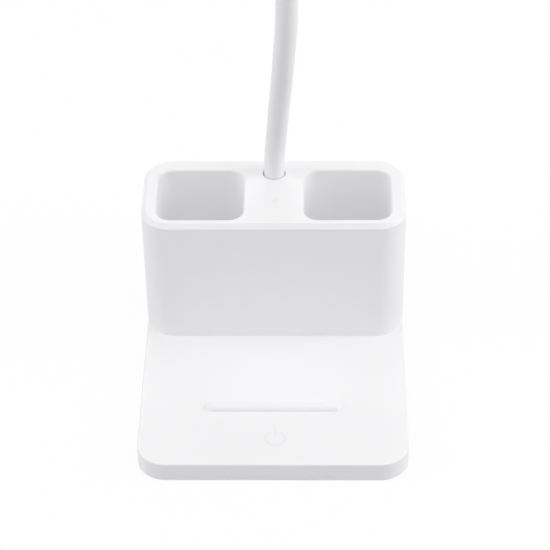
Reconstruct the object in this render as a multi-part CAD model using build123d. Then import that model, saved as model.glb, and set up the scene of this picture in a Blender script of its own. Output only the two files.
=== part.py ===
from build123d import *
import math
import os

# Desk lamp on an organiser base. Millimetres, +Z up, -Y is the front.
# The origin is on the table, under the middle of the base plate.

# ---------------------------------------------------------------- sizes
# Base housing
plate_w = 120.0          # width of plate and box, along X
plate_d = 134.0          # depth of the plate, along Y
plate_t = 9.5            # height of the plate, from its rim to its top face
corner_r = 13.0          # corners in plan
box_d = 50.0             # depth of the pen box, flush with the back of the plate
box_h = 75.5             # height of the pen box, from the same rim
side_wall = 2.2          # moulded side walls
top_wall = 2.4           # roof of the box
deck_wall = 2.2          # roof of the plate
box_bevel = 2.0          # bevel round the top of the box
plate_round = 0.6        # rounding of the plate's top edge

# Pen pockets
pocket_side = 6.8        # from the box's side face to the mouth
pocket_front = 4.8       # from the box's front face to the mouth
pocket_back = 8.8        # from the back face to the mouth
pocket_web = 27.4        # solid width between the two mouths
pocket_r = 6.8           # corners of the mouth
pocket_lift = 14.5       # from the rim to the pocket's floor
pocket_draft = 1.0       # degrees on each wall
pocket_wall = 1.8
pocket_lip = 1.1         # rounding of the mouth

# Phone stop, a raised half round bar
stop_l = 61.0
stop_r = 2.6
stop_rise = 2.3
stop_reach = 48.3        # from the box's front face to the bar's axis, for a leaning phone
stop_edge = 0.4          # of the bar sunk in the deck

# Ribs and bosses inside the housing
rib_t = 1.4
rib_h = 2.0
rib_pitch = 22.0
boss_d = 7.0
boss_bore = 2.4
boss_front_side = 9.5    # axis to the side face
boss_front_in = 25.0     # axis to the front edge
boss_rear_side = 11.5
boss_rear_in = 31.0      # axis to the back face
boss_skin = 0.6          # left over the end of each screw
rooted = 0.5             # how far ribs, bosses and pegs run into what carries them

# Bottom cover, its screws and the pad under it
cover_t = 2.0
cover_gap = 0.25         # to the housing's walls
screw_hole = 3.2
screw_head = 6.0
screw_sink = 1.1
pad_side = 2.5           # from the rear screws' heads to the pad
pad_end = 11.0           # from the plate's front and back edges to the pad
pad_t = 1.5
pad_r = 9.0
pad_edge = 0.4           # bevel round its lower edge
pad_sink = 0.5           # recess in the cover that holds the pad
pad_gap = 0.1

# Ballast
ballast_side = 1.0       # to the front bosses
ballast_front = 21.0     # to the plate's front edge
ballast_back = 3.0       # to the line of the box's front face
ballast_top = 0.3        # to the ribs
ballast_r = 6.0
pin_d = 4.0
pin_gap = 0.2
pin_x = 34.0

# Battery cell and its cradle
cell_d = 18.4
cell_round = 1.2
cell_cap_d = 7.36
cell_cap_h = 1.0
cell_room = 2.9          # from the cell's cap to the indicator's board
cell_space = 0.8         # from the cradle to the front wall of the box
cradle_wall = 1.4
cradle_h = 9.0
cradle_gap = 0.25
cradle_slot = 6.0        # for the leads
cell_lift = 0.3

# Control board and USB-C inlet
board_in = 2.15          # from the cradle to the board
board_out = 2.0          # from the board to the rear boss
board_d = 34.0
board_t = 1.6
board_r = 1.0
chip_w = 7.0
chip_h = 1.0
coil_w = 5.0
coil_d = 4.0
coil_h = 1.6
chip_x = 4.0             # from the board's middle
coil_x = 7.0
chip_in = 5.7            # behind the board's middle line
chip_sunk = 0.2
standoff_h = 2.2
standoff_d = 4.0
usb_w = 9.0
usb_h = 3.2
usb_l = 7.4
usb_skin = 0.35
usb_back = 1.4           # solid end of the inlet
usb_tongue_w = 6.7
usb_tongue_l = 5.0
usb_tongue_t = 0.7
usb_seat = 4.5           # length of the inlet that stands on the board
usb_gap = 0.3            # round the inlet in the wall
usb_inset = 1.0          # mouth of the inlet, in from the back face

# Touch board
touch_w = 22.0
touch_t = 1.2
touch_r = 2.0
touch_x = 0.5
touch_in = 17.0          # its middle, from the plate's front edge
touch_gap = 0.15         # under the deck
touch_room = 1.0         # between the touch board and the ribs

# Indicator
light_d = 2.6
light_flange_d = 4.4
light_flange_t = 0.8
light_x = 0.6
light_back = 31.2        # its axis, from the back face
light_fit = 0.05
light_sunk = 0.1         # of the pipe in its flange
lamp_board_w = 12.0
lamp_board_d = 5.0
lamp_board_t = 1.0
lamp_board_r = 0.8
lamp_board_drop = 1.9    # under the roof
lamp_w = 1.6             # the small lamp on that board
lamp_d = 1.2
lamp_h = 0.7
peg_d = 2.2
peg_x = 4.4

# Neck mount in the box
neck_back = 10.9         # from the back face to the neck's axis
neck_gap = 0.65          # round the neck in the roof's hole
tower_wall = 2.0
tower_h = 30.0           # from the roof down to the tower's floor
tower_floor = 3.0
stud_d = 8.0
stud_l = 13.0
stud_gap = 0.2
flange_t = 2.5
flange_gap = 0.2
spigot_l = 8.0
spigot_gap = 0.05
washer_d = 15.0
washer_t = 1.0
washer_gap = 0.15
nut_flats = 13.0
nut_t = 5.5
thread_gap = 0.05

# Neck: a wound steel core in a silicone sleeve
neck_d = 9.2
sleeve_wall = 1.1
core_gap = 0.15
core_wall = 1.6
neck_turn = 8.7          # degrees from straight ahead towards +X
rise = 7.5               # of the neck below the roof before it leans
bend_low = 30.0          # degrees
bend_low_r = 95.0
bend_mid = -24.0         # degrees
bend_mid_r = 110.0
bend_top = 84.0          # degrees
bend_top_r = 42.0
side_low = 24.0          # straight lengths that flex sideways
side_mid = 26.0
swing = 20.0
link_1 = 8.0             # straight lengths that stay as they are
link_2 = 8.0
link_3 = 40.0
link_4 = 34.0
link_5 = 6.0
link_6 = 14.0            # inside the head's collar

# Head
head_d = 92.0
head_h = 12.5
head_wall = 1.8
head_round = 3.5
head_lip = 0.8           # rounding of the lower rim
collar_wall = 1.3
collar_start = 1.0       # bare neck before the collar
collar_gap = 0.1
collar_sunk = 2.0        # how far the neck's end reaches inside the rim
collar_round = 0.8
collar_end = 3.0         # of the collar past the neck's end
bezel_w = 6.0
bezel_t = 2.4
bezel_gap = 0.2
bezel_step = 2.5         # ledge that the diffuser lies on
diffuser_gap = 0.1
guide_lap = 1.0          # ledge that the light guide lies on
diffuser_t = 1.2
guide_t = 2.0
led_board_t = 1.0
led_board_gap = 1.0
led_count = 24
led_size = 2.8
led_t = 0.7
led_ring = 30.0          # radius of the ring of lamps
led_sunk = 0.1
head_boss_d = 6.0
head_boss_count = 3
head_boss_ring = 24.0

# ---------------------------------------------------------------- heights
rim_z = pad_t - pad_sink
cover_z = rim_z + cover_t
deck_z = rim_z + plate_t
ceiling_z = deck_z - deck_wall
roof_z = rim_z + box_h
loft_z = roof_z - top_wall
back_y = plate_d / 2
box_y = back_y - box_d / 2
box_front_y = back_y - box_d
stop_y = box_front_y - stop_reach
pocket_w = plate_w / 2 - pocket_side - pocket_web / 2
pocket_d = box_d - pocket_front - pocket_back
pocket_x = (pocket_web + pocket_w) / 2
pocket_y = back_y - pocket_back - pocket_d / 2
pocket_floor = rim_z + pocket_lift
boss_front_x = plate_w / 2 - boss_front_side
boss_front_y = boss_front_in - back_y
boss_rear_x = plate_w / 2 - boss_rear_side
boss_rear_y = back_y - boss_rear_in
neck_y = back_y - neck_back
tower_z = loft_z - tower_h
light_y = back_y - light_back
touch_y = touch_in - back_y
pad_w = 2 * (boss_rear_x - screw_head / 2 - pad_side)
pad_d = plate_d - 2 * pad_end
ballast_w = 2 * (boss_front_x - boss_d / 2 - ballast_side)
ballast_d = plate_d - box_d - ballast_front - ballast_back
ballast_y = box_front_y - ballast_back - ballast_d / 2
ballast_t = ceiling_z - rib_h - ballast_top - cover_z
cradle_bore = cell_d + 2 * cradle_gap
cradle_d = cradle_bore + 2 * cradle_wall
cell_y = box_front_y + side_wall + cell_space + cradle_d / 2
cell_low = cover_z + cell_lift
cell_high = loft_z - lamp_board_drop - lamp_board_t - cell_room
board_w = boss_rear_x - boss_d / 2 - board_out - cradle_d / 2 - board_in
board_x = cradle_d / 2 + board_in + board_w / 2
neck_hole = neck_d + 2 * neck_gap
sleeve_bore = neck_d - 2 * sleeve_wall
core_d = sleeve_bore - 2 * core_gap
core_bore = core_d - 2 * core_wall


def slab(width, depth, radius, x, y, low, high):
    """An upright prism with round corners in plan."""
    with BuildPart() as made:
        with BuildSketch(Plane.XY.offset(low)):
            with Locations((x, y)):
                RectangleRounded(width, depth, radius)
        extrude(amount=high - low)
    return made.part


def rod(diameter, x, y, low, high):
    """An upright round bar."""
    return Pos(x, y, (low + high) / 2) * Cylinder(diameter / 2, high - low)


def block(width, depth, x, y, low, high):
    """An upright square bar."""
    return Pos(x, y, (low + high) / 2) * Box(width, depth, high - low)


# ---------------------------------------------------------------- base housing
def pocket(x, grow, low):
    """One pen pocket, drafted, from the roof down. grow is the wall round it."""
    mouth = Plane.XY.offset(roof_z)
    outline = RectangleRounded(pocket_w + 2 * grow, pocket_d + 2 * grow, pocket_r + grow)
    return extrude(
        mouth * Pos(x, pocket_y) * outline,
        amount=-(roof_z - low),
        taper=pocket_draft,
    )


def phone_stop():
    """A half round bar with ball ends, proud of the deck by stop_rise."""
    middle_z = deck_z + stop_rise - stop_r
    half = stop_l / 2 - stop_r
    bar = Pos(0, stop_y, middle_z) * Rot(0, 90, 0) * Cylinder(stop_r, 2 * half)
    bar += Pos(-half, stop_y, middle_z) * Sphere(stop_r)
    bar += Pos(half, stop_y, middle_z) * Sphere(stop_r)
    low = deck_z - stop_edge
    keep = block(2 * stop_l, 6 * stop_r, 0, stop_y, low, deck_z + 2 * stop_rise)
    return bar & keep


def housing_outer():
    """The outside of the moulding: the plate, and the box that stands on it."""
    plate = slab(plate_w, plate_d, corner_r, 0, 0, rim_z, deck_z)
    top_edges = plate.edges().group_by(Axis.Z)[-1]
    plate = fillet(top_edges, plate_round)
    box = slab(plate_w, box_d, corner_r, 0, box_y, rim_z, roof_z)
    top_edges = box.edges().group_by(Axis.Z)[-1]
    box = chamfer(top_edges, box_bevel)
    whole = plate + box
    return whole


def housing_ribs():
    """A grid of ribs under the deck, clear of the touch board."""
    inner_w = plate_w - 2 * side_wall
    inner_d = plate_d - box_d - side_wall
    middle_y = -back_y + side_wall + inner_d / 2
    low = ceiling_z - rib_h
    grid = None
    across = int(inner_w / rib_pitch / 2)
    along = int(inner_d / rib_pitch / 2)
    for i in range(-across, across + 1):
        bar = block(
            rib_t, inner_d + 2 * rooted, i * rib_pitch, middle_y, low, ceiling_z + rooted
        )
        grid = bar if grid is None else grid + bar
    for i in range(-along, along + 1):
        y = middle_y + i * rib_pitch
        grid += block(inner_w + 2 * rooted, rib_t, 0, y, low, ceiling_z + rooted)
    room = touch_w + 2 * touch_room
    return grid - block(room, room, touch_x, touch_y, low - 1, ceiling_z + 1)


def neck_tower():
    """The tube under the roof that holds the foot of the neck."""
    outer = neck_hole + 2 * tower_wall
    return rod(outer, 0, neck_y, tower_z - tower_floor, loft_z + rooted)


def screw_spots():
    """The four places where a screw holds the cover."""
    front = [(-boss_front_x, boss_front_y), (boss_front_x, boss_front_y)]
    rear = [(-boss_rear_x, boss_rear_y), (boss_rear_x, boss_rear_y)]
    return front, rear


def base_housing():
    body = housing_outer()
    inner_r = corner_r - side_wall
    body -= slab(
        plate_w - 2 * side_wall, plate_d - 2 * side_wall, inner_r, 0, 0, rim_z - 1, ceiling_z
    )
    body -= slab(
        plate_w - 2 * side_wall, box_d - 2 * side_wall, inner_r, 0, box_y, rim_z - 1, loft_z
    )
    for x in (-pocket_x, pocket_x):
        body += pocket(x, pocket_wall, pocket_floor - pocket_wall)
    body += housing_ribs()
    body += neck_tower()
    front, rear = screw_spots()
    for x, y in front:
        body += rod(boss_d, x, y, cover_z, ceiling_z + rooted)
    for x, y in rear:
        body += rod(boss_d, x, y, cover_z, pocket_floor - pocket_wall + rooted)
    for x in (-peg_x, peg_x):
        body += rod(peg_d, light_x + x, light_y, loft_z - lamp_board_drop, loft_z + rooted)
    for x in (-pocket_x, pocket_x):
        body -= pocket(x, 0, pocket_floor)
    mouths = body.edges().filter_by_position(Axis.Z, roof_z - 0.01, roof_z + 0.01)
    mouths = [e for e in mouths if is_mouth(e)]
    body = fillet(mouths, pocket_lip)
    body -= rod(neck_hole, 0, neck_y, tower_z, roof_z + 1)
    body -= rod(stud_d + 2 * stud_gap, 0, neck_y, tower_z - tower_floor - 1, tower_z + 1)
    body -= rod(light_d + 2 * light_fit, light_x, light_y, loft_z - 1, roof_z + 1)
    for x, y in front + rear:
        body -= rod(boss_bore, x, y, cover_z - 1, ceiling_z - boss_skin)
    body -= usb_opening()
    body += phone_stop()
    return body


def is_mouth(edge):
    """True for an edge of a pocket's mouth, and not for the outer rim."""
    spot = edge.center()
    half_w = pocket_w / 2 + 0.1
    half_d = pocket_d / 2 + 0.1
    return abs(abs(spot.X) - pocket_x) < half_w and abs(spot.Y - pocket_y) < half_d


# ---------------------------------------------------------------- inlet
def board_top():
    return cover_z + standoff_h + board_t


def usb_shape(width, height, low_y, high_y):
    """A bar with round ends, along Y, that sits on the control board."""
    middle_z = board_top() + usb_h / 2
    face = Plane(origin=(board_x, low_y, middle_z), x_dir=(1, 0, 0), z_dir=(0, 1, 0))
    return extrude(face * SlotOverall(width, height), amount=high_y - low_y)


def usb_opening():
    """The window in the back wall, with the inlet's shape and a gap all round."""
    room = 2 * usb_gap
    return usb_shape(usb_w + room, usb_h + room, back_y - side_wall - 1, back_y + 1)


def usb_inlet():
    """The metal shell of the inlet, its open mouth to the back, with its tongue."""
    mouth_y = back_y - usb_inset
    foot_y = mouth_y - usb_l
    shell = usb_shape(usb_w, usb_h, foot_y, mouth_y)
    inner_w = usb_w - 2 * usb_skin
    inner_h = usb_h - 2 * usb_skin
    shell -= usb_shape(inner_w, inner_h, foot_y + usb_back, mouth_y + 1)
    low = board_top() + (usb_h - usb_tongue_t) / 2
    middle_y = foot_y + usb_back + usb_tongue_l / 2 - 0.1
    tongue = block(usb_tongue_w, usb_tongue_l + 0.2, board_x, middle_y, low, low + usb_tongue_t)
    return shell + tongue


# ---------------------------------------------------------------- cover and pad
def bottom_cover():
    gap = side_wall + cover_gap
    cover = slab(
        plate_w - 2 * gap, plate_d - 2 * gap, corner_r - gap, 0, 0, rim_z, cover_z
    )
    room = 2 * pad_gap
    cover -= slab(
        pad_w + room, pad_d + room, pad_r + pad_gap, 0, 0, rim_z - 1, rim_z + pad_sink
    )
    front, rear = screw_spots()
    for x, y in front + rear:
        cover -= rod(screw_hole, x, y, rim_z - 1, cover_z + 1)
        cover -= rod(screw_head, x, y, rim_z - 1, rim_z + screw_sink)
    high = cover_z + cradle_h
    cradle = rod(cradle_d, 0, cell_y, cover_z - rooted, high)
    cradle -= rod(cradle_bore, 0, cell_y, cover_z, high + 1)
    cradle -= block(cradle_slot, 2 * cradle_bore, 0, cell_y, cover_z, high + 1)
    cover += cradle
    for x in (-pin_x, pin_x):
        cover += rod(pin_d, x, ballast_y, cover_z - rooted, cover_z + ballast_t)
    for x in (-1, 1):
        for y in (-1, 1):
            cover += rod(
                standoff_d,
                board_x + x * (board_w / 2 - standoff_d / 2),
                board_y() + y * (board_d / 2 - standoff_d / 2),
                cover_z - rooted,
                cover_z + standoff_h,
            )
    return cover


def grip_pad():
    """The rubber sheet that the lamp stands on, let into the cover."""
    pad = slab(pad_w, pad_d, pad_r, 0, 0, 0, pad_t)
    return chamfer(pad.edges().group_by(Axis.Z)[0], pad_edge)


# ---------------------------------------------------------------- inside the base
def ballast_plate():
    plate = slab(
        ballast_w, ballast_d, ballast_r, 0, ballast_y, cover_z, cover_z + ballast_t
    )
    for x in (-pin_x, pin_x):
        plate -= rod(pin_d + 2 * pin_gap, x, ballast_y, cover_z - 1, cover_z + ballast_t + 1)
    return plate


def battery_cell():
    """A round cell, with a rounded top edge and a small cap."""
    can_high = cell_high - cell_cap_h
    can = rod(cell_d, 0, cell_y, cell_low, can_high)
    can = fillet(can.edges().group_by(Axis.Z)[-1], cell_round)
    return can + rod(cell_cap_d, 0, cell_y, can_high - cell_cap_h, cell_high)


def board_y():
    return back_y - usb_inset - usb_l + usb_seat - board_d / 2


def control_board():
    low = cover_z + standoff_h
    high = low + board_t
    board = slab(board_w, board_d, board_r, board_x, board_y(), low, high)
    chip_y = board_y() - chip_in
    under = high - chip_sunk
    board += block(chip_w, chip_w, board_x - chip_x, chip_y, under, high + chip_h)
    board += block(coil_w, coil_d, board_x + coil_x, chip_y, under, high + coil_h)
    return board


def touch_board():
    high = ceiling_z - touch_gap
    board = slab(touch_w, touch_w, touch_r, touch_x, touch_y, high - touch_t, high)
    return board


def light_pipe():
    pipe = rod(light_d, light_x, light_y, loft_z - light_sunk, roof_z)
    return pipe + rod(light_flange_d, light_x, light_y, loft_z - light_flange_t, loft_z)


def indicator_board():
    high = loft_z - lamp_board_drop
    low = high - lamp_board_t
    board = slab(lamp_board_w, lamp_board_d, lamp_board_r, light_x, light_y, low, high)
    return board + block(lamp_w, lamp_d, light_x, light_y, high - led_sunk, high + lamp_h)


# ---------------------------------------------------------------- neck mount
def neck_bush():
    """A turned bush: spigot up into the core, flange, stud down through the floor."""
    seat = tower_z + flange_t
    bush = rod(neck_hole - 2 * flange_gap, 0, neck_y, tower_z, seat)
    bush += rod(core_bore - 2 * spigot_gap, 0, neck_y, seat - rooted, seat + spigot_l)
    bush += rod(stud_d, 0, neck_y, tower_z - stud_l, tower_z + rooted)
    return bush


def neck_washer():
    high = tower_z - tower_floor
    washer = rod(washer_d, 0, neck_y, high - washer_t, high)
    bore = stud_d + 2 * washer_gap
    return washer - rod(bore, 0, neck_y, high - washer_t - 1, high + 1)


def neck_nut():
    high = tower_z - tower_floor - washer_t
    flats = RegularPolygon(nut_flats / 2, 6, major_radius=False)
    nut = extrude(Plane.XY.offset(high - nut_t) * Pos(0, neck_y) * flats, amount=nut_t)
    return nut - rod(stud_d + 2 * thread_gap, 0, neck_y, high - nut_t - 1, high + 1)


# ---------------------------------------------------------------- neck
turn = math.radians(neck_turn)
forward = Vector(math.sin(turn), -math.cos(turn), 0)
hinge = Vector(math.cos(turn), math.sin(turn), 0)


class Stretch:
    """A stretch of the neck, straight or bent forward about the hinge direction."""

    def __init__(self, name, start, tilt, length=0.0, bend=0.0, radius=0.0):
        self.name = name
        self.start = start
        self.tilt = tilt
        self.bend = bend
        self.radius = radius
        self.length = length if bend == 0 else radius * math.radians(abs(bend))

    def tangent(self, tilt):
        a = math.radians(tilt)
        return forward * math.sin(a) + Vector(0, 0, 1) * math.cos(a)

    def normal(self, tilt):
        a = math.radians(tilt)
        return forward * math.cos(a) - Vector(0, 0, 1) * math.sin(a)

    def at(self, share):
        """The point at a share of the length, and the tilt there."""
        if self.bend == 0:
            return self.start + self.tangent(self.tilt) * (self.length * share), self.tilt
        side = 1 if self.bend > 0 else -1
        middle = self.start + self.normal(self.tilt) * (self.radius * side)
        tilt = self.tilt + self.bend * share
        return middle - self.normal(tilt) * (self.radius * side), tilt

    def solid(self, outer, inner):
        """A ring of the given diameters, carried along the stretch."""
        face = Plane(
            origin=self.start, x_dir=hinge, z_dir=self.tangent(self.tilt)
        ) * (Circle(outer / 2) - Circle(inner / 2))
        if self.bend == 0:
            return extrude(face, amount=self.length, dir=self.tangent(self.tilt))
        side = 1 if self.bend > 0 else -1
        middle = self.start + self.normal(self.tilt) * (self.radius * side)
        return revolve(face, Axis(middle, hinge * side), abs(self.bend))


def neck_stretches():
    """The whole neck, from its foot in the tower to its end in the head's collar."""
    root_low = tower_z + flange_t
    plan = [
        ("root", roof_z - rise - root_low, 0, 0),
        ("flex_1", 0, bend_low, bend_low_r),
        ("link_1", link_1, 0, 0),
        ("flex_2", side_low, 0, 0),
        ("link_2", link_2, 0, 0),
        ("flex_3", 0, bend_mid, bend_mid_r),
        ("link_3", link_3, 0, 0),
        ("flex_4", side_mid, 0, 0),
        ("link_4", link_4, 0, 0),
        ("flex_5", 0, bend_top, bend_top_r),
        ("link_5", link_5, 0, 0),
        ("flex_6", swing, 0, 0),
        ("tip", link_6, 0, 0),
    ]
    point = Vector(0, neck_y, root_low)
    tilt = 0.0
    made = []
    for name, length, bend, radius in plan:
        piece = Stretch(name, point, tilt, length, bend, radius)
        made.append(piece)
        point, tilt = piece.at(1.0)
    return made


stretches = neck_stretches()


# ---------------------------------------------------------------- head
tip = stretches[-1]
tip_start, tip_tilt = tip.at(0.0)
tip_end, tip_tilt = tip.at(1.0)
head_middle = tip_end + forward * (head_d / 2 - collar_sunk)
head_plane = Plane(origin=head_middle, x_dir=hinge, z_dir=(0, 0, 1))
head_low = -head_h / 2
ledge_r = head_d / 2 - head_wall - bezel_gap - bezel_w + bezel_step
guide_z = head_low + bezel_t
led_board_z = guide_z + guide_t + led_board_gap


def disc(radius, low, high):
    """A flat disc about the head's axis, between two heights from its middle."""
    return head_plane * Pos(0, 0, (low + high) / 2) * Cylinder(radius, high - low)


def head_tube(diameter, start, length):
    """A bar along the neck's last stretch, start being measured from its beginning."""
    face = Plane(origin=tip_start + forward * start, x_dir=hinge, z_dir=forward)
    return extrude(face * Circle(diameter / 2), amount=length)


def shell_profile(radius, low, high, low_round, high_round):
    """A dish's outline, turned about the head's axis, with rounded rims."""
    body = Pos(0, 0, (low + high) / 2) * Cylinder(radius, high - low)
    body = fillet(body.edges().group_by(Axis.Z)[-1], high_round)
    if low_round:
        body = fillet(body.edges().group_by(Axis.Z)[0], low_round)
    return head_plane * body


def head_shell():
    """A shallow dish, open below, with a collar for the neck at its rear edge."""
    high = head_h / 2
    inner_r = head_d / 2 - head_wall
    shell = shell_profile(head_d / 2, head_low, high, head_lip, head_round)
    collar = head_tube(
        neck_d + 2 * (collar_gap + collar_wall),
        collar_start,
        link_6 + collar_end - collar_start,
    )
    mouth = collar.edges().filter_by(GeomType.CIRCLE).sort_by(Axis.Y)[-1]
    shell += fillet(mouth, collar_round)
    shell -= shell_profile(
        inner_r, head_low - 1, high - head_wall, 0, head_round - head_wall / 2
    )
    shell -= head_tube(neck_d + 2 * collar_gap, -1.0, link_6 + 1.0)
    for x, y in head_boss_spots():
        low = led_board_z + led_board_t
        boss = Pos(x, y, (low + high - head_wall / 2) / 2)
        boss *= Cylinder(head_boss_d / 2, high - head_wall / 2 - low)
        shell += head_plane * boss
    return shell


def head_boss_spots():
    step = 2 * math.pi / head_boss_count
    return [
        (head_boss_ring * math.cos(i * step), head_boss_ring * math.sin(i * step))
        for i in range(head_boss_count)
    ]


def head_bezel():
    """The ring that closes the shell from below, with a ledge for the diffuser."""
    outer = head_d / 2 - head_wall - bezel_gap
    step = guide_z - diffuser_t
    ring = disc(outer, head_low, guide_z) - disc(outer - bezel_w, head_low - 1, guide_z + 1)
    return ring - disc(ledge_r, step, guide_z + 1)


def head_diffuser():
    return disc(ledge_r - diffuser_gap, guide_z - diffuser_t, guide_z)


def light_guide():
    return disc(ledge_r + guide_lap, guide_z, guide_z + guide_t)


def led_board():
    """An aluminium disc with a ring of lamps under it."""
    board = disc(ledge_r + guide_lap, led_board_z, led_board_z + led_board_t)
    low = led_board_z - led_t
    for i in range(led_count):
        spot = Rot(0, 0, i * 360 / led_count) * Pos(led_ring, 0, low + (led_t + led_sunk) / 2)
        board += head_plane * spot * Box(led_size, led_size, led_t + led_sunk)
    return board


# ---------------------------------------------------------------- export
def nodes():
    made = {
        "base_housing": base_housing(),
        "bottom_cover": bottom_cover(),
        "grip_pad": grip_pad(),
        "ballast_plate": ballast_plate(),
        "battery_cell": battery_cell(),
        "control_board": control_board(),
        "usb_inlet": usb_inlet(),
        "touch_board": touch_board(),
        "light_pipe": light_pipe(),
        "indicator_board": indicator_board(),
        "neck_bush": neck_bush(),
        "neck_washer": neck_washer(),
        "neck_nut": neck_nut(),
        "head_shell": head_shell(),
        "head_bezel": head_bezel(),
        "head_diffuser": head_diffuser(),
        "light_guide": light_guide(),
        "led_board": led_board(),
    }
    for piece in stretches:
        made["sleeve_" + piece.name] = piece.solid(neck_d, sleeve_bore)
        made["core_" + piece.name] = piece.solid(core_d, core_bore)
    return made


os.makedirs("parts", exist_ok=True)
for name, solid in nodes().items():
    export_step(solid, f"parts/{name}.step")
for piece in stretches:
    point, tilt = piece.at(0.5)
    print(piece.name, [round(v, 2) for v in point], round(tilt, 1), round(piece.length, 1))
print("head", [round(v, 2) for v in head_middle])
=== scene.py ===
import math

import bmesh
import bpy
from mathutils import Matrix, Vector


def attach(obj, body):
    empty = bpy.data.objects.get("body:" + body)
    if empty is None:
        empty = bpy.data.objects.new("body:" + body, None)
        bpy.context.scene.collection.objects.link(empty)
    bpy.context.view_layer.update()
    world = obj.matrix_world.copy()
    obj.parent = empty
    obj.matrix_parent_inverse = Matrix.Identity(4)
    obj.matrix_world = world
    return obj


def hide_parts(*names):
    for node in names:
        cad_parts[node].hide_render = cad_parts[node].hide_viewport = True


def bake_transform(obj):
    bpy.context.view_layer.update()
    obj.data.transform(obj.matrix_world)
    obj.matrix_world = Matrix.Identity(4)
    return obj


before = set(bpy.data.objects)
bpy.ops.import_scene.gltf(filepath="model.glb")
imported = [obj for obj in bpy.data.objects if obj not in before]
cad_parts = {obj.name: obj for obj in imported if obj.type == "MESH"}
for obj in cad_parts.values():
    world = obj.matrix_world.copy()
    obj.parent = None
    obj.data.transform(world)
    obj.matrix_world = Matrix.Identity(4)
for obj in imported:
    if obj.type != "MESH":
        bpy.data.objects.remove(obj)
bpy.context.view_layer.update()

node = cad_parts

# ---------------------------------------------------------------- camera
# The photograph's viewing angle: from the front, a little to the right, about
# 40 degrees down, with a long lens that frames the base and the foot of the neck.
FRAME_PX = 550
FOCAL_PX = 2022.76
SENSOR_MM = 36.0
NEAREST = 0.01
FARTHEST = 50.0
# light passes from white wall to white wall many times before it leaves a pocket
BOUNCES = 12
EYE = Vector((0.016497, -0.686539, 0.643197))
LOOK = Vector((-0.017363, 0.763255, -0.645864))
RIGHT = Vector((0.999849, 0.012783, -0.011773))
DOWN = Vector((-0.000729, -0.645971, -0.763362))

camera_data = bpy.data.cameras.new("photo_camera")
camera_data.sensor_width = SENSOR_MM
camera_data.lens = FOCAL_PX / FRAME_PX * SENSOR_MM
camera_data.clip_start = NEAREST
camera_data.clip_end = FARTHEST
camera = bpy.data.objects.new("photo_camera", camera_data)
turned = Matrix((RIGHT, -DOWN, -LOOK)).transposed().to_4x4()
camera.matrix_world = Matrix.Translation(EYE) @ turned
bpy.context.scene.collection.objects.link(camera)
bpy.context.scene.camera = camera
bpy.context.scene.view_settings.view_transform = "Standard"
bpy.context.scene.cycles.diffuse_bounces = BOUNCES


# ---------------------------------------------------------------- studio
# A white table that sweeps up into a white wall. The camera, glossy and clear
# surfaces see it as plain white with only a breath of the lamp's shadow. The
# light is soft: two overhead boxes, one at each side, one behind and a white sky.
class Wire:
    """A node's output, which can be added and multiplied."""

    def __init__(self, nodes, socket):
        self.nodes = nodes
        self.socket = socket

    def _math(self, operation, other):
        return self.nodes.node(
            "ShaderNodeMath", {"operation": operation}, {0: self, 1: other}
        )

    def __add__(self, other):
        return self._math("ADD", other)

    __radd__ = __add__

    def __mul__(self, other):
        return self._math("MULTIPLY", other)

    __rmul__ = __mul__

    def at_most(self, other):
        """The smaller of the two."""
        return self._math("MINIMUM", other)

    def beside(self, output):
        """Another output of the same node."""
        return Wire(self.nodes, self.socket.node.outputs[output])


class Nodes:
    """A node tree, whose nodes are all made by node()."""

    def __init__(self, tree):
        self.tree = tree

    def node(self, kind, settings, inputs, output=0):
        made = self.tree.nodes.new(kind)
        for key, value in settings.items():
            setattr(made, key, value)
        for key, value in inputs.items():
            if isinstance(value, Wire):
                self.tree.links.new(value.socket, made.inputs[key])
            else:
                made.inputs[key].default_value = value
        return Wire(self, made.outputs[output])


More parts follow.
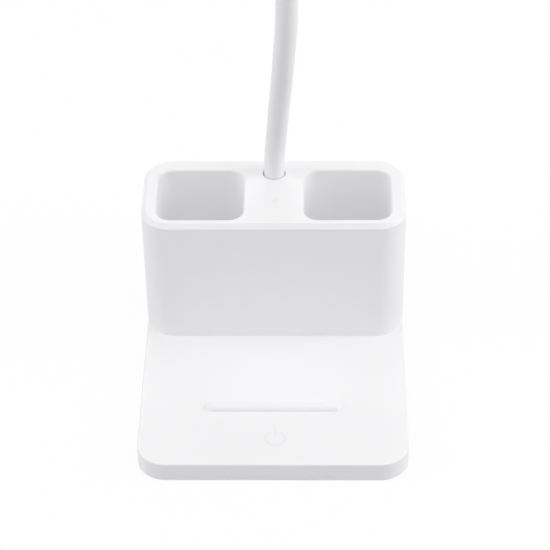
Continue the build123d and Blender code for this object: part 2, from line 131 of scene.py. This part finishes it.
class Finish(Nodes):
    """A material with one Principled surface."""

    def __init__(self, name, colour, roughness, **fixed):
        self.material = bpy.data.materials.new(name)
        self.material.use_nodes = True
        self.material.diffuse_color = (*colour, 1.0)
        super().__init__(self.material.node_tree)
        self.output = self.tree.get_output_node("ALL")
        self.surface = self.output.inputs["Surface"].links[0].from_node
        self.surface.inputs["Base Color"].default_value = (*colour, 1.0)
        self.surface.inputs["Roughness"].default_value = roughness
        for socket, value in fixed.items():
            self.surface.inputs[socket].default_value = value
        self.place = self.node("ShaderNodeTexCoord", {}, {}, "Object")

    def noise(self, scale, detail):
        return self.node(
            "ShaderNodeTexNoise",
            {},
            {"Vector": self.place, "Scale": scale, "Detail": detail},
            "Fac",
        )

    def bands(self, axis, scale):
        return self.node(
            "ShaderNodeTexWave",
            {"bands_direction": axis},
            {"Vector": self.place, "Scale": scale},
            "Fac",
        )

    def cells(self, scale, output):
        return self.node(
            "ShaderNodeTexVoronoi", {}, {"Vector": self.place, "Scale": scale}, output
        )

    def between(self, share, low, high):
        """A colour that goes from low to high with share. Either may be a Wire."""
        low, high = (c if isinstance(c, Wire) else (*c, 1.0) for c in (low, high))
        # the Mix node has several sockets called A, B and Result, so they go by
        # number: 0 is its factor, 6, 7 and 2 are those for colours
        return self.node(
            "ShaderNodeMix", {"data_type": "RGBA"}, {0: share, 6: low, 7: high}, 2
        )

    def spread(self, share, low, high):
        """A number that goes from low to high with share, and no further."""
        return self.node(
            "ShaderNodeMapRange", {}, {"Value": share, "To Min": low, "To Max": high}
        )

    def feed(self, socket, wire):
        self.tree.links.new(wire.socket, self.surface.inputs[socket])

    def tint(self, share, low, high):
        """Varies the colour from low to high with share."""
        self.feed("Base Color", self.between(share, low, high))

    def roughen(self, share, low, high):
        """Varies the roughness from low to high with share."""
        self.feed("Roughness", self.spread(share, low, high))

    def bump(self, height, strength, distance):
        """Raises the surface by distance where height is 1."""
        raised = self.node(
            "ShaderNodeBump",
            {},
            {"Height": height, "Strength": strength, "Distance": distance},
            "Normal",
        )
        self.feed("Normal", raised)

    def finish_with(self, wire):
        """Puts another shader than the Principled one at the material's end."""
        self.tree.links.new(wire.socket, self.output.inputs["Surface"])


def tone(colour, share):
    """The same colour, darker."""
    return tuple(c * share for c in colour)


def settle(obj, name):
    """Names a piece and puts its place into its mesh."""
    bpy.context.view_layer.update()
    obj.name = name
    obj.data.name = name
    obj.data.transform(obj.matrix_world)
    obj.matrix_world = Matrix.Identity(4)
    return obj


def start_edit():
    bpy.ops.object.mode_set(mode="EDIT")
    return bmesh.from_edit_mesh(bpy.context.active_object.data)


def end_edit():
    bpy.ops.object.mode_set(mode="OBJECT")


def pick(shape, test, what="faces"):
    """Selects the parts of the mesh for which test is true, and nothing else."""
    for group in (shape.verts, shape.edges, shape.faces):
        for part in group:
            part.select = False
    for part in getattr(shape, what):
        if test(part):
            part.select_set(True)
    shape.select_flush_mode()
    bmesh.update_edit_mesh(bpy.context.active_object.data)


TABLE_SIZE = 6.0
WALL_HEIGHT = 2.0
WALL_BEND = 0.9
WALL_BEND_STEPS = 12
bpy.ops.object.select_all(action="DESELECT")
bpy.ops.mesh.primitive_plane_add(size=TABLE_SIZE, location=(0, 0, 0))
table = settle(bpy.context.active_object, "studio_sweep")
shape = start_edit()
pick(shape, lambda e: all(v.co.y > 0 for v in e.verts), "edges")
bpy.ops.mesh.extrude_region_move(TRANSFORM_OT_translate={"value": (0, 0, WALL_HEIGHT)})
end_edit()
bend = table.modifiers.new("round", "BEVEL")
bend.width = WALL_BEND
bend.segments = WALL_BEND_STEPS
bend.limit_method = "ANGLE"
bpy.ops.object.modifier_apply(modifier="round")
bpy.ops.object.shade_smooth()

SWEEP_WHITE = (0.97, 0.97, 0.97)
# what the table and wall give back to the lamp
SWEEP_RETURN = (0.643, 0.643, 0.660)
SHADOW_SHARE = 0.07
sweep = Finish("studio_white", SWEEP_WHITE, roughness=0.9)
glow = sweep.node("ShaderNodeEmission", {}, {"Color": (1, 1, 1, 1), "Strength": 1.0})
looks = sweep.node("ShaderNodeLightPath", {}, {}, "Is Camera Ray")
mottle = sweep.noise(scale=3.0, detail=3.0)
paper = sweep.between(mottle, tone(SWEEP_RETURN, 0.98), SWEEP_RETURN)
sweep.tint(looks, paper, SWEEP_WHITE)
mirrored = looks.beside("Is Glossy Ray")
through = looks.beside("Is Transmission Ray")
seen = (looks + mirrored + through).at_most(1.0)
lit = Wire(sweep, sweep.surface.outputs[0])
backdrop = sweep.node(
    "ShaderNodeMixShader", {}, {0: seen * (1 - SHADOW_SHARE), 1: lit, 2: glow}
)
sweep.finish_with(backdrop)
table.data.materials.append(sweep.material)

SKY = 0.365
SKY_COLOUR = (0.99, 0.99, 1.012, 1.0)
world = bpy.data.worlds.new("studio_air")
bpy.context.scene.world = world
world.use_nodes = True
background = world.node_tree.nodes["Background"]
background.inputs["Color"].default_value = SKY_COLOUR
air = Nodes(world.node_tree)
met = air.node("ShaderNodeLightPath", {}, {}, "Is Camera Ray")
brightness = met * (1 - SKY) + SKY
air.tree.links.new(brightness.socket, background.inputs["Strength"])

# name, place, aim, width, height, watts
SOFTBOXES = (
    ("top_box", (0, 0.1, 1.8), (0, 0, 0), 1.8, 1.8, 6.6),
    ("top_front_box", (0.1, -0.9, 1.7), (0, 0, 0.05), 1.6, 0.8, 5.0),
    ("right_box", (1.5, -0.2, 0.8), (0, 0, 0.08), 1.4, 1.2, 12.8),
    ("left_box", (-1.5, -0.2, 0.8), (0, 0, 0.08), 1.4, 1.2, 10.0),
    ("back_box", (0, 1.7, 0.9), (0, 0, 0.08), 1.6, 1.0, 5.7),
)
for name, spot, aim, width, height, watts in SOFTBOXES:
    data = bpy.data.lights.new(name, "AREA")
    data.shape = "RECTANGLE"
    data.size = width
    data.size_y = height
    data.energy = watts
    lamp = bpy.data.objects.new(name, data)
    lamp.location = spot
    aimed = Vector(aim) - Vector(spot)
    lamp.rotation_euler = aimed.to_track_quat("-Z", "Y").to_euler()
    bpy.context.scene.collection.objects.link(lamp)


# ---------------------------------------------------------------- base housing
# One white ABS moulding, the plate and the pen box together, with a satin
# spark-eroded skin. The head's shell and bezel come from the same plastic.
ABS_WHITE = (0.962, 0.962, 0.965)
RUB = 0.05
GRAIN_DEPTH = 0.00004


def dress(names, finish):
    """Gives CAD nodes a finish."""
    for name in names:
        node[name].data.materials.clear()
        node[name].data.materials.append(finish.material)


def moulded(name, colour, roughness, grain):
    """Injection-moulded plastic: an even colour, a fine eroded grain, soft sheen."""
    made = Finish(name, colour, roughness, IOR=1.5)
    made.tint(made.noise(scale=38.0, detail=3.0), tone(colour, 0.985), colour)
    rub = made.noise(scale=120.0, detail=4.0)
    made.roughen(rub, roughness - RUB, roughness + RUB)
    pits = made.noise(scale=2600.0, detail=2.0)
    made.bump(pits, strength=grain, distance=GRAIN_DEPTH)
    return made


abs_white = moulded("abs_white_satin", ABS_WHITE, roughness=0.42, grain=0.05)
dress(["base_housing", "head_shell", "head_bezel"], abs_white)


# ---------------------------------------------------------------- bottom cover
# A flat ABS lid inside the housing's rim, held by four self-tapping screws,
# a shade greyer than the housing because its mould is left rougher.
COVER_WHITE = (0.80, 0.80, 0.80)
abs_cover = moulded("abs_white_rough", COVER_WHITE, roughness=0.6, grain=0.12)
dress(["bottom_cover"], abs_cover)


# ---------------------------------------------------------------- grip pad
# A sheet of dark grey silicone rubber, glued into the cover's recess, with the
# fine linen texture that such sheets are rolled with.
PAD_GREY = (0.055, 0.055, 0.058)
PAD_DARK = (0.045, 0.045, 0.047)
PAD_DUSTY = (0.075, 0.075, 0.078)
LINEN_SCALE = 330.0
pad_rubber = Finish("pad_rubber_grey", PAD_GREY, roughness=0.75, IOR=1.45)
pad_rubber.tint(pad_rubber.noise(scale=160.0, detail=5.0), PAD_DARK, PAD_DUSTY)
weft = pad_rubber.bands("X", LINEN_SCALE)
warp = pad_rubber.bands("Y", LINEN_SCALE)
pad_rubber.bump(weft + warp, strength=0.35, distance=0.0002)
dress(["grip_pad"], pad_rubber)


# ---------------------------------------------------------------- cover screws
# Four zinc-plated pan-head screws with a cross recess, sunk in the cover. Each
# is a turned head with a rounded rim, and its cross is marked out and pushed in.
SCREW_SPOTS = ((-0.0505, -0.042), (0.0505, -0.042), (-0.0485, 0.036), (0.0485, 0.036))
SCREW_HEAD_R = 0.0026
SCREW_HEAD_H = 0.0009
SCREW_FACE_Z = 0.0012
SCREW_SIDES = 32
RIM_ROUND = 0.0003
RIM_STEPS = 3
CROSS_REACH = 0.0014
CROSS_W = 0.0006
CROSS_DEPTH = 0.0006
SCREW_SMOOTH = math.radians(40)
# how nearly upright a level face's normal is, at least
LEVEL = 0.9
zinc = Finish("screw_zinc", (0.62, 0.62, 0.60), roughness=0.34, Metallic=1.0)
zinc.roughen(zinc.noise(scale=900.0, detail=4.0), 0.26, 0.44)


def faces_down(face):
    """True for the faces at the end of the screw's head, not those of its rim."""
    return face.normal.z < -LEVEL


def in_cross(face):
    """True for the faces of the head's end that lie in one of the cross's arms."""
    middle = face.calc_center_median()
    near, far = sorted((abs(middle.x), abs(middle.y)))
    return faces_down(face) and near < CROSS_W / 2 and far < CROSS_REACH


bpy.ops.object.select_all(action="DESELECT")
bpy.ops.mesh.primitive_cylinder_add(
    vertices=SCREW_SIDES, radius=SCREW_HEAD_R, depth=SCREW_HEAD_H, location=(0, 0, 0)
)
screw = bpy.context.active_object
shape = start_edit()
pick(shape, faces_down)
bpy.ops.mesh.bevel(offset=RIM_ROUND, segments=RIM_STEPS, affect="EDGES")
for reach in (-CROSS_REACH, -CROSS_W / 2, CROSS_W / 2, CROSS_REACH):
    for across in (Vector((1, 0, 0)), Vector((0, 1, 0))):
        shape = bmesh.from_edit_mesh(screw.data)
        pick(shape, faces_down)
        bpy.ops.mesh.bisect(plane_co=across * reach, plane_no=across)
shape = bmesh.from_edit_mesh(screw.data)
pick(shape, in_cross)
bpy.ops.mesh.extrude_region_move(TRANSFORM_OT_translate={"value": (0, 0, CROSS_DEPTH)})
end_edit()
bpy.ops.object.shade_smooth_by_angle(angle=SCREW_SMOOTH)
screw.data.materials.append(zinc.material)
for i, (x, y) in enumerate(SCREW_SPOTS):
    one = screw.copy()
    one.data = screw.data.copy()
    bpy.context.scene.collection.objects.link(one)
    one.matrix_world = Matrix.Translation((x, y, SCREW_FACE_Z + SCREW_HEAD_H / 2))
    settle(one, f"cover_screw_{i + 1}")
    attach(one, "base")
bpy.data.objects.remove(screw)


# ---------------------------------------------------------------- touch mark
# The power sign over the touch board: a ring, open at its top, and a bar. It is
# pad-printed in a grey so pale that it only just shows on the white plate.
MARK_MIDDLE = Vector((0.0010, -0.0505, 0.0))
DECK_Z = 0.0105
INK_H = 0.00002
RING_R = 0.0044
RING_W = 0.0007
OPEN_DEGREES = 62.0
BAR_TOP = 0.0066
BAR_FOOT = 0.0012
RING_STEPS = 48
INK_GREY = (0.90, 0.90, 0.905)
INK_DENSE = (0.885, 0.885, 0.89)
INK_THIN = (0.91, 0.91, 0.915)
ink = Finish("touch_ink_grey", INK_GREY, roughness=0.5)
ink.tint(ink.noise(scale=1500.0, detail=3.0), INK_DENSE, INK_THIN)


def ink_ring():
    """A flat ring with a gap, spun from one short edge."""
    bpy.ops.object.select_all(action="DESELECT")
    start = math.radians(90 + OPEN_DEGREES / 2)
    across = Vector((math.cos(start), math.sin(start), 0))
    bpy.ops.mesh.primitive_plane_add(size=RING_W, location=(0, 0, 0))
    ring = bpy.context.active_object
    shape = start_edit()
    pick(shape, lambda v: v.co.y > 0, "verts")
    bpy.ops.mesh.delete(type="VERT")
    shape = bmesh.from_edit_mesh(ring.data)
    for v, r in zip(shape.verts, (RING_R - RING_W / 2, RING_R + RING_W / 2)):
        v.co = across * r
    pick(shape, lambda e: True, "edges")
    bpy.ops.mesh.spin(
        steps=RING_STEPS,
        angle=-math.radians(360 - OPEN_DEGREES),
        center=(0, 0, 0),
        axis=(0, 0, 1),
    )
    end_edit()
    return ring


ring = ink_ring()
bpy.ops.object.select_all(action="DESELECT")
bpy.ops.mesh.primitive_plane_add(size=1.0, location=(0, (BAR_TOP + BAR_FOOT) / 2, 0))
bar = bpy.context.active_object
bar.scale = (RING_W, BAR_TOP - BAR_FOOT, 1)
bpy.ops.object.transform_apply(location=False, rotation=False, scale=True)
ring.select_set(True)
bpy.context.view_layer.objects.active = ring
bpy.ops.object.join()
mark = bpy.context.active_object
thick = mark.modifiers.new("ink", "SOLIDIFY")
thick.thickness = INK_H
thick.offset = 0
bpy.ops.object.modifier_apply(modifier="ink")
shape = start_edit()
pick(shape, lambda f: True)
bpy.ops.mesh.normals_make_consistent(inside=False)
end_edit()
mark.matrix_world = Matrix.Translation(MARK_MIDDLE + Vector((0, 0, DECK_Z + INK_H)))
settle(mark, "touch_mark")
mark.data.materials.append(ink.material)
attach(mark, "base")


# ---------------------------------------------------------------- indicator
# A short rod of clear acrylic pressed into the roof between the pockets, its
# end flush with the plastic, so that it shows only as a faint dot when off.
PIPE_CLEAR = (0.93, 0.93, 0.925)
PIPE_HAZY = (0.955, 0.955, 0.95)
acrylic = Finish("pipe_acrylic", PIPE_CLEAR, roughness=0.25, IOR=1.49)
acrylic.tint(acrylic.noise(scale=700.0, detail=2.0), PIPE_CLEAR, PIPE_HAZY)
dress(["light_pipe"], acrylic)


# ---------------------------------------------------------------- inner parts
# Green circuit boards with a solder-resist gloss, a wrapped cell, a zinc plated
# steel plate, and the inlet's plated shell. Only the inlet's mouth shows.
RESIST_GREEN = (0.02, 0.13, 0.06)
RESIST_DARK = (0.015, 0.11, 0.05)
RESIST_LIGHT = (0.04, 0.20, 0.09)
board_green = Finish("solder_resist_green", RESIST_GREEN, roughness=0.32, IOR=1.5)
tracks = board_green.node(
    "ShaderNodeTexBrick",
    {},
    {"Vector": board_green.place, "Scale": 420.0, "Mortar Size": 0.03},
    "Fac",
)
board_green.tint(tracks, RESIST_DARK, RESIST_LIGHT)
dress(["control_board", "touch_board", "indicator_board"], board_green)

cell_wrap = Finish("cell_wrap_blue", (0.03, 0.12, 0.30), roughness=0.28, IOR=1.5)
cell_wrap.roughen(cell_wrap.noise(scale=90.0, detail=4.0), 0.2, 0.38)
dress(["battery_cell"], cell_wrap)

plated = Finish("ballast_zinc", (0.50, 0.50, 0.49), roughness=0.4, Metallic=1.0)
spangle = plated.cells(140.0, "Color")
dull = plated.node("ShaderNodeSeparateColor", {}, {0: spangle})
plated.roughen(dull, 0.3, 0.5)
dress(["ballast_plate"], plated)
dress(["usb_inlet"], zinc)


# ---------------------------------------------------------------- neck
# A gooseneck: round and triangular steel wires wound together, in a white
# silicone sleeve, held in the tower by a bush, a washer and a nut. The sleeve is
# made in six lengths that meet on stiff stretches, each over one of its joints.
MM = 0.001
NECK_TURN = math.radians(8.7)
AHEAD = Vector((math.sin(NECK_TURN), -math.cos(NECK_TURN), 0))
ASIDE = Vector((math.cos(NECK_TURN), math.sin(NECK_TURN), 0))
UP = Vector((0, 0, 1))
FOOT = Vector((0, 56.1, 46.6)) * MM
SLEEVE_R = 4.68 * MM
SLEEVE_WALL = 1.1 * MM
CORE_R = 3.35 * MM
CORE_WALL = 1.6 * MM
SLEEVE_SIDES = 56
CORE_SIDES = 24
RING_STEP = 2.0 * MM
WELD = 1e-6
TUBE_SMOOTH = math.radians(50)
# from height, to height and sideways reach, in mm
SWAYS = ((82, 134, 0.47), (130, 198, -0.55))
# name, straight length in mm, bend in degrees, its radius in mm
NECK_PLAN = (
    ("root", 22.4, 0, 0),
    ("flex_1", 0, 30, 95),
    ("link_1", 8, 0, 0),
    ("flex_2", 24, 0, 0),
    ("link_2", 8, 0, 0),
    ("flex_3", 0, -24, 110),
    ("link_3", 40, 0, 0),
    ("flex_4", 26, 0, 0),
    ("link_4", 34, 0, 0),
    ("flex_5", 0, 84, 42),
    ("link_5", 6, 0, 0),
    ("flex_6", 20, 0, 0),
    ("tip", 14, 0, 0),
)
# how far into a stiff stretch a bend reaches, which is worked out below but not
# used, and where two lengths of sleeve meet on it, as shares of the stretch
GIVE = 0.25
MEET = 0.5
FLEXES = 6


def heading(tilt):
    """The way the neck runs where it leans forward by tilt."""
    return AHEAD * math.sin(tilt) + UP * math.cos(tilt)


def inward(tilt):
    """Square to the heading, towards the middle of a forward bend."""
    return AHEAD * math.cos(tilt) - UP * math.sin(tilt)


def neck_line():
    """Each stretch: its name, where it starts, its tilt, length, bend and radius."""
    point, tilt, found = FOOT, 0.0, []
    for name, length, bend, radius in NECK_PLAN:
        bend, radius, length = math.radians(bend), radius * MM, length * MM
        found.append((name, point.copy(), tilt, length, bend, radius))
        if bend:
            side = math.copysign(1, bend)
            middle = point + inward(tilt) * radius * side
            tilt += bend
            point = middle - inward(tilt) * radius * side
        else:
            point = point + heading(tilt) * length
    return found


def sway(height):
    """How far the sleeve wanders sideways: a gooseneck never sits quite straight."""
    reach = 0.0
    for low, high, most in SWAYS:
        if low * MM < height < high * MM:
            share = (height / MM - low) / (high - low)
            reach += most * MM * math.sin(math.pi * share) ** 2
    return reach


def along(entry, share):
    """The point at a share of a straight stretch."""
    _, point, tilt, length, _, _ = entry
    return point + heading(tilt) * length * share


def cut(entry, start, stop):
    """The part of a straight stretch between two shares of it."""
    name, _, tilt, length, _, _ = entry
    return name, along(entry, start), tilt, length * (stop - start), 0, 0


def neck_tube(name, runs, radius, wall, sides):
    """A tube: a circle, pushed along the straight runs and spun round the bends."""
    bpy.ops.object.select_all(action="DESELECT")
    _, point, tilt, _, _, _ = runs[0]
    facing = Matrix((ASIDE, heading(tilt).cross(ASIDE), heading(tilt))).transposed()
    bpy.ops.mesh.primitive_circle_add(
        vertices=sides,
        radius=radius,
        location=point,
        rotation=facing.to_euler(),
    )
    tube = settle(bpy.context.active_object, name)
    start_edit()
    bpy.ops.mesh.select_all(action="SELECT")
    for _, point, tilt, length, bend, bend_radius in runs:
        if bend:
            side = math.copysign(1, bend)
            middle = point + inward(tilt) * bend_radius * side
            steps = round(abs(bend) * bend_radius / RING_STEP)
            bpy.ops.mesh.spin(
                steps=steps,
                angle=-abs(bend),
                center=middle,
                axis=ASIDE * side,
            )
        else:
            steps = round(length / RING_STEP)
            for _ in range(steps):
                bpy.ops.mesh.extrude_region_move(
                    TRANSFORM_OT_translate={"value": heading(tilt) * length / steps}
                )
    bpy.ops.mesh.select_all(action="SELECT")
    bpy.ops.mesh.remove_doubles(threshold=WELD)
    bpy.ops.mesh.normals_make_consistent(inside=False)
    end_edit()
    for v in tube.data.vertices:
        v.co.x += sway(v.co.z)
    around = tube.modifiers.new("wall", "SOLIDIFY")
    around.thickness = wall
    around.offset = -1
    bpy.ops.object.modifier_apply(modifier="wall")
    bpy.ops.object.shade_smooth_by_angle(angle=TUBE_SMOOTH)
    return tube


SLEEVE_WHITE = (0.935, 0.935, 0.94)
silicone = Finish("sleeve_silicone_white", SLEEVE_WHITE, roughness=0.46, IOR=1.42)
cloud = silicone.noise(scale=70.0, detail=3.0)
silicone.tint(cloud, tone(SLEEVE_WHITE, 0.98), SLEEVE_WHITE)
silicone.roughen(silicone.noise(scale=240.0, detail=4.0), 0.40, 0.54)
skin = silicone.noise(scale=1800.0, detail=2.0)
silicone.bump(skin, strength=0.04, distance=GRAIN_DEPTH)

wound = Finish("core_wound_steel", (0.42, 0.42, 0.43), roughness=0.36, Metallic=1.0)
turns = wound.bands("Z", 260.0)
wound.bump(turns, strength=0.6, distance=0.0006)
wound.roughen(turns, 0.3, 0.5)
dress([n for n in node if n.startswith("core_")], wound)
dress([n for n in node if n.startswith("sleeve_")], silicone)
dress(["neck_bush", "neck_washer", "neck_nut"], zinc)

line = neck_line()
index = {entry[0]: i for i, entry in enumerate(line)}
for k in range(1, FLEXES + 1):
    at_root = k == 1
    at_tip = k == FLEXES
    i = index[f"flex_{k}"]
    before, bend_run, after = line[i - 1], line[i], line[i + 1]
    bends_from = along(before, 1.0 if at_root else 1 - GIVE)
    bends_to = along(after, 0.0 if at_tip else GIVE)
    first = cut(before, 0.0 if at_root else MEET, 1.0)
    last = cut(after, 0.0, 1.0 if at_tip else MEET)
    sleeve = neck_tube(
        f"neck_sleeve_{k}", [first, bend_run, last], SLEEVE_R, SLEEVE_WALL, SLEEVE_SIDES
    )
    sleeve.data.materials.append(silicone.material)
    stands_for = [f"sleeve_flex_{k}", f"sleeve_{before[0]}"]
    if at_tip:
        stands_for.append("sleeve_tip")
    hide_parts(*stands_for)
    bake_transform(sleeve)
    core = neck_tube(f"neck_core_{k}", [bend_run], CORE_R, CORE_WALL, CORE_SIDES)
    core.data.materials.append(wound.material)
    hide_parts(f"core_flex_{k}")
    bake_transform(core)


# ---------------------------------------------------------------- head
# A flat round head: white shell and bezel, an opal acrylic diffuser, and behind
# it a clear light guide and an aluminium board with a ring of lamps.
OPAL_WHITE = (0.90, 0.90, 0.87)
OPAL_THICK = (0.88, 0.88, 0.85)
OPAL_THIN = (0.92, 0.92, 0.89)
opal = Finish("diffuser_opal", OPAL_WHITE, roughness=0.38, IOR=1.49)
opal.tint(opal.noise(scale=25.0, detail=2.0), OPAL_THICK, OPAL_THIN)
matt = opal.noise(scale=1900.0, detail=2.0)
opal.bump(matt, strength=0.05, distance=0.00003)
dress(["head_diffuser"], opal)

clear_sheet = Finish("guide_acrylic", (0.90, 0.92, 0.92), roughness=0.15, IOR=1.49)
clear_sheet.roughen(clear_sheet.cells(500.0, "Distance"), 0.12, 0.4)
dress(["light_guide"], clear_sheet)

brushed = Finish("board_aluminium", (0.72, 0.72, 0.73), roughness=0.36, Metallic=1.0)
brushed.roughen(brushed.noise(scale=400.0, detail=4.0), 0.28, 0.46)
dress(["led_board"], brushed)
